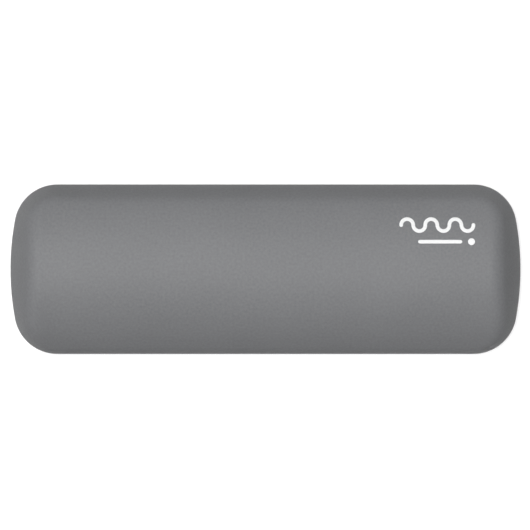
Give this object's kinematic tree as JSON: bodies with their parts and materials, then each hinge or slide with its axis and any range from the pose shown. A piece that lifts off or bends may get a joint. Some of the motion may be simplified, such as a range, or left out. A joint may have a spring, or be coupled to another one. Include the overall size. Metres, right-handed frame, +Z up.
{
  "type": "wrist rest",
  "caption": "Low padded bar with round corners, bowed ends and a crowned soft top, on a flat non-skid base, to support the palms.",
  "frame": {"origin": "on the desk, under the middle of the rest", "axes": "+X along the rest, +Y away from the user towards the keyboard, +Z up"},
  "size_m": [0.225, 0.0748, 0.026],
  "materials": {
    "cover_fabric": "smooth matte knit with a fine nap",
    "bond_film": "clear adhesive film",
    "memory_foam": "fine open-cell foam",
    "support_foam": "firm open-cell foam",
    "board_plastic": "moulded, fine grain",
    "hem_tape": "double-sided tape",
    "base_rubber": "moulded elastomer, matte",
    "print_ink": "flat white ink"
  },
  "bodies": {
    "root": {"cover": "cover_fabric", "cover_bond_film": "bond_film", "memory_foam": "memory_foam", "foam_bond_film": "bond_film", "support_foam": "support_foam", "board_bond_film": "bond_film", "stiffener_board": "board_plastic", "hem_bond_tape": "hem_tape", "base_bond_film": "bond_film", "non_skid_base": "base_rubber", "printed_mark": "print_ink"}
  },
  "joints": []
}
